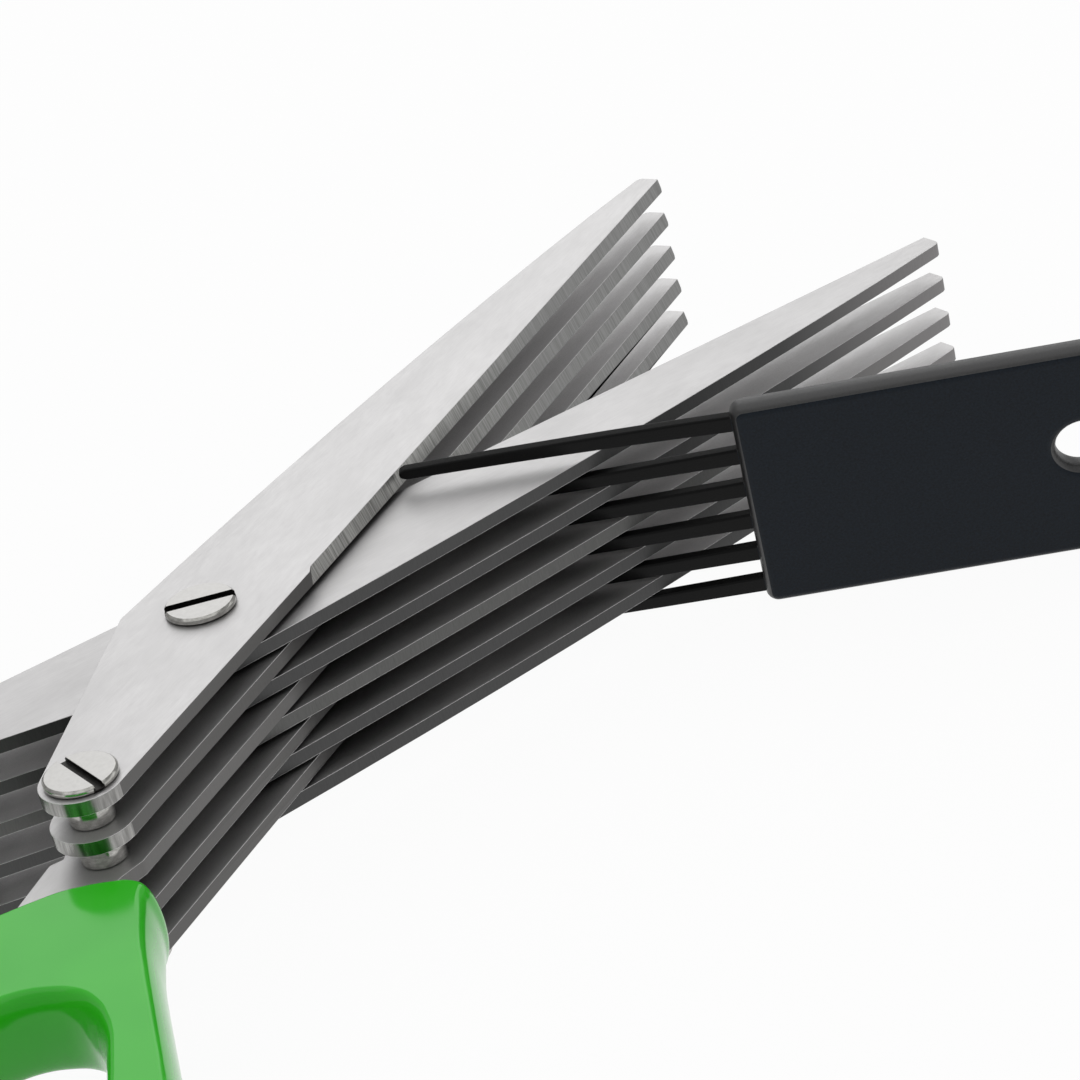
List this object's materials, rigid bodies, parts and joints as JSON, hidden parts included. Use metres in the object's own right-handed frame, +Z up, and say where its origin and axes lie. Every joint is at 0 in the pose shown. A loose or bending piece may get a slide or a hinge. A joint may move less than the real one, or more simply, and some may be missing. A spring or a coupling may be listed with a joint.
{
  "type": "herb scissors",
  "caption": "Herb scissors with stacked interleaved blades on one pivot, moulded finger loops and a toothed cleaning comb held between the blades.",
  "frame": {"origin": "middle of the pivot, at the under side of the pivot nut", "axes": "+Z up along the pivot to its slotted head, +X between the two open sets of blades towards their tips"},
  "size_m": [0.1905, 0.1194, 0.0259],
  "materials": {
    "blade_steel": "fine lengthwise satin",
    "polished_steel": "turned and polished",
    "green_plastic": "gloss, moulded",
    "black_plastic": "fine matte, moulded"
  },
  "bodies": {
    "set_b": {"blade_b_1": "blade_steel", "blade_b_2": "blade_steel", "blade_b_3": "blade_steel", "blade_b_4": "blade_steel", "blade_b_5": "blade_steel", "post_b_screw": "polished_steel", "post_b_nut": "polished_steel", "post_b_spacer_1": "polished_steel", "post_b_spacer_2": "polished_steel", "post_b_spacer_3": "polished_steel", "post_b_spacer_4": "polished_steel", "handle_b": "green_plastic", "pivot_screw": "polished_steel", "pivot_nut": "polished_steel", "pivot_washer_1": "polished_steel", "pivot_washer_2": "polished_steel", "pivot_washer_3": "polished_steel", "pivot_washer_4": "polished_steel", "pivot_washer_5": "polished_steel", "pivot_washer_6": "polished_steel", "pivot_washer_7": "polished_steel", "pivot_washer_8": "polished_steel", "pivot_washer_9": "polished_steel"},
    "set_a": {"blade_a_1": "blade_steel", "blade_a_2": "blade_steel", "blade_a_3": "blade_steel", "blade_a_4": "blade_steel", "blade_a_5": "blade_steel", "post_a_screw": "polished_steel", "post_a_nut": "polished_steel", "post_a_spacer_1": "polished_steel", "post_a_spacer_2": "polished_steel", "post_a_spacer_3": "polished_steel", "post_a_spacer_4": "polished_steel", "handle_a": "green_plastic"},
    "comb": {"comb": "black_plastic"}
  },
  "joints": [
    {"name": "blade_pivot", "type": "hinge", "parent": "set_b", "child": "set_a", "pos_m": [0, 0, 0.0113], "axis": [0, 0, -1], "range_deg": [0, 24]},
    {"name": "comb_slide", "type": "slide", "parent": "set_b", "child": "comb", "axis": [0.6441, -0.7649, 0], "range_m": [0, 0.021]}
  ],
  "couplings": [
    {"joint": "comb_slide", "follows": "blade_pivot", "m_per_rad": 0.049}
  ]
}
